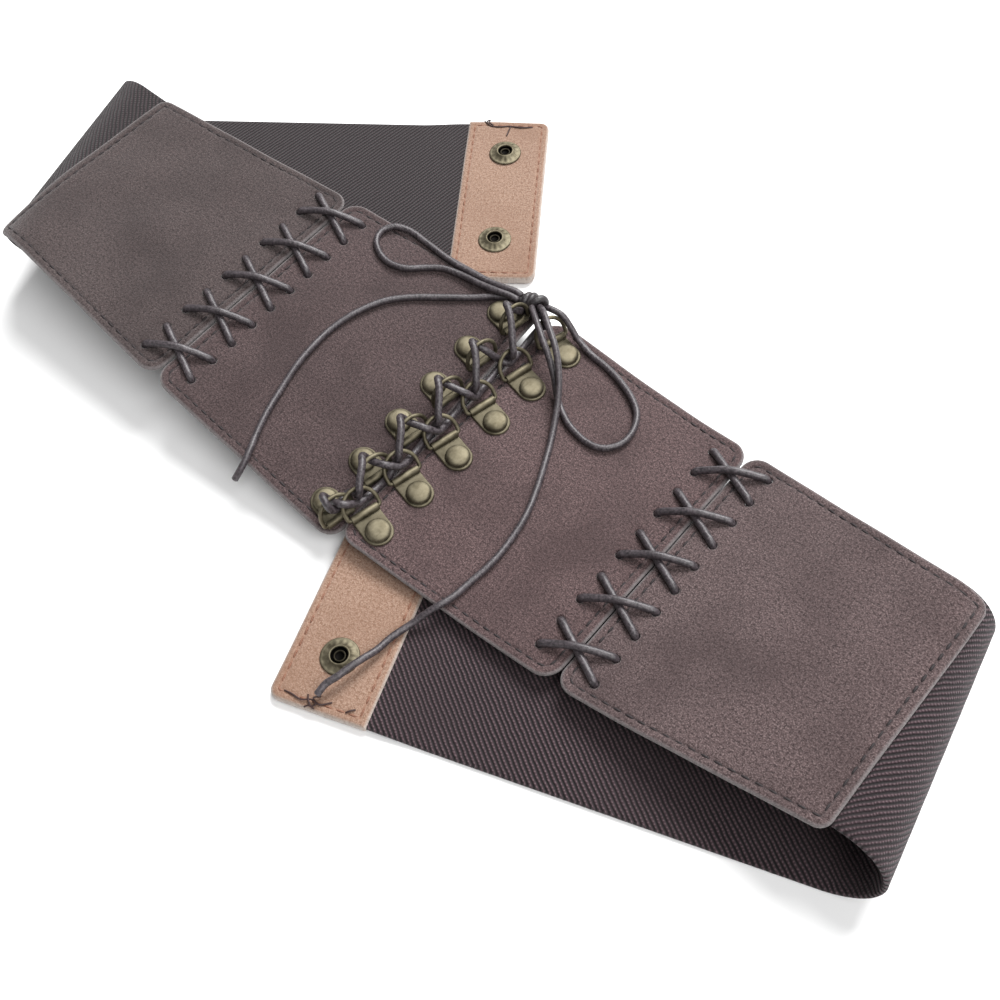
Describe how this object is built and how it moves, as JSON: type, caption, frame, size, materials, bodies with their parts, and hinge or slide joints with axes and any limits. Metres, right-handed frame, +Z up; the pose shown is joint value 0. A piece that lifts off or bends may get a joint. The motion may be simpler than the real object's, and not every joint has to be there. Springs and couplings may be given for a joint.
{
  "type": "corset belt",
  "caption": "Lace-up corset belt lying face up: brown suede panels joined by crossed laces, hook rivets with rings laced and tied in a bow, folded elastic ends with tan snap tabs.",
  "frame": {"origin": "middle of the footprint on the surface that the belt lies on, with the free lace ends and bow loops left out", "axes": "+X from the left half to the right half along the belt, +Y across the belt toward the bow, +Z up off the surface"},
  "size_m": [0.4222, 0.2586, 0.0361],
  "materials": {
    "suede": "taupe-brown faux suede with turned edges and dark topstitching",
    "elastic": "dark brown elastic with fine slanting ribs",
    "tan_suede": "tan suede with brown topstitching",
    "brass": "antique brass, pale on top and dark in the recesses",
    "lace": "round waxed cord, dark grey-brown with a soft shine"
  },
  "bodies": {
    "root": {"panel_left_inner": "suede", "panel_left_outer": "suede", "elastic_left": "elastic", "tab_left": "tan_suede", "seam_lace_left": "lace", "snap_left_1": "brass", "snap_left_2": "brass", "hook_left_1": "brass", "ring_left_1": "brass", "hook_left_2": "brass", "ring_left_2": "brass", "hook_left_3": "brass", "ring_left_3": "brass", "hook_left_4": "brass", "ring_left_4": "brass", "hook_left_5": "brass", "ring_left_5": "brass", "hook_left_6": "brass", "ring_left_6": "brass", "panel_right_inner": "suede", "panel_right_outer": "suede", "elastic_right": "elastic", "tab_right": "tan_suede", "seam_lace_right": "lace", "snap_right_1": "brass", "snap_right_2": "brass", "hook_right_1": "brass", "ring_right_1": "brass", "hook_right_2": "brass", "ring_right_2": "brass", "hook_right_3": "brass", "ring_right_3": "brass", "hook_right_4": "brass", "ring_right_4": "brass", "hook_right_5": "brass", "ring_right_5": "brass", "hook_right_6": "brass", "ring_right_6": "brass", "ring_lace": "lace", "bow_knot": "lace", "bow_loop_left": "lace", "bow_loop_right": "lace", "lace_end_left": "lace", "lace_end_right": "lace"}
  },
  "joints": []
}
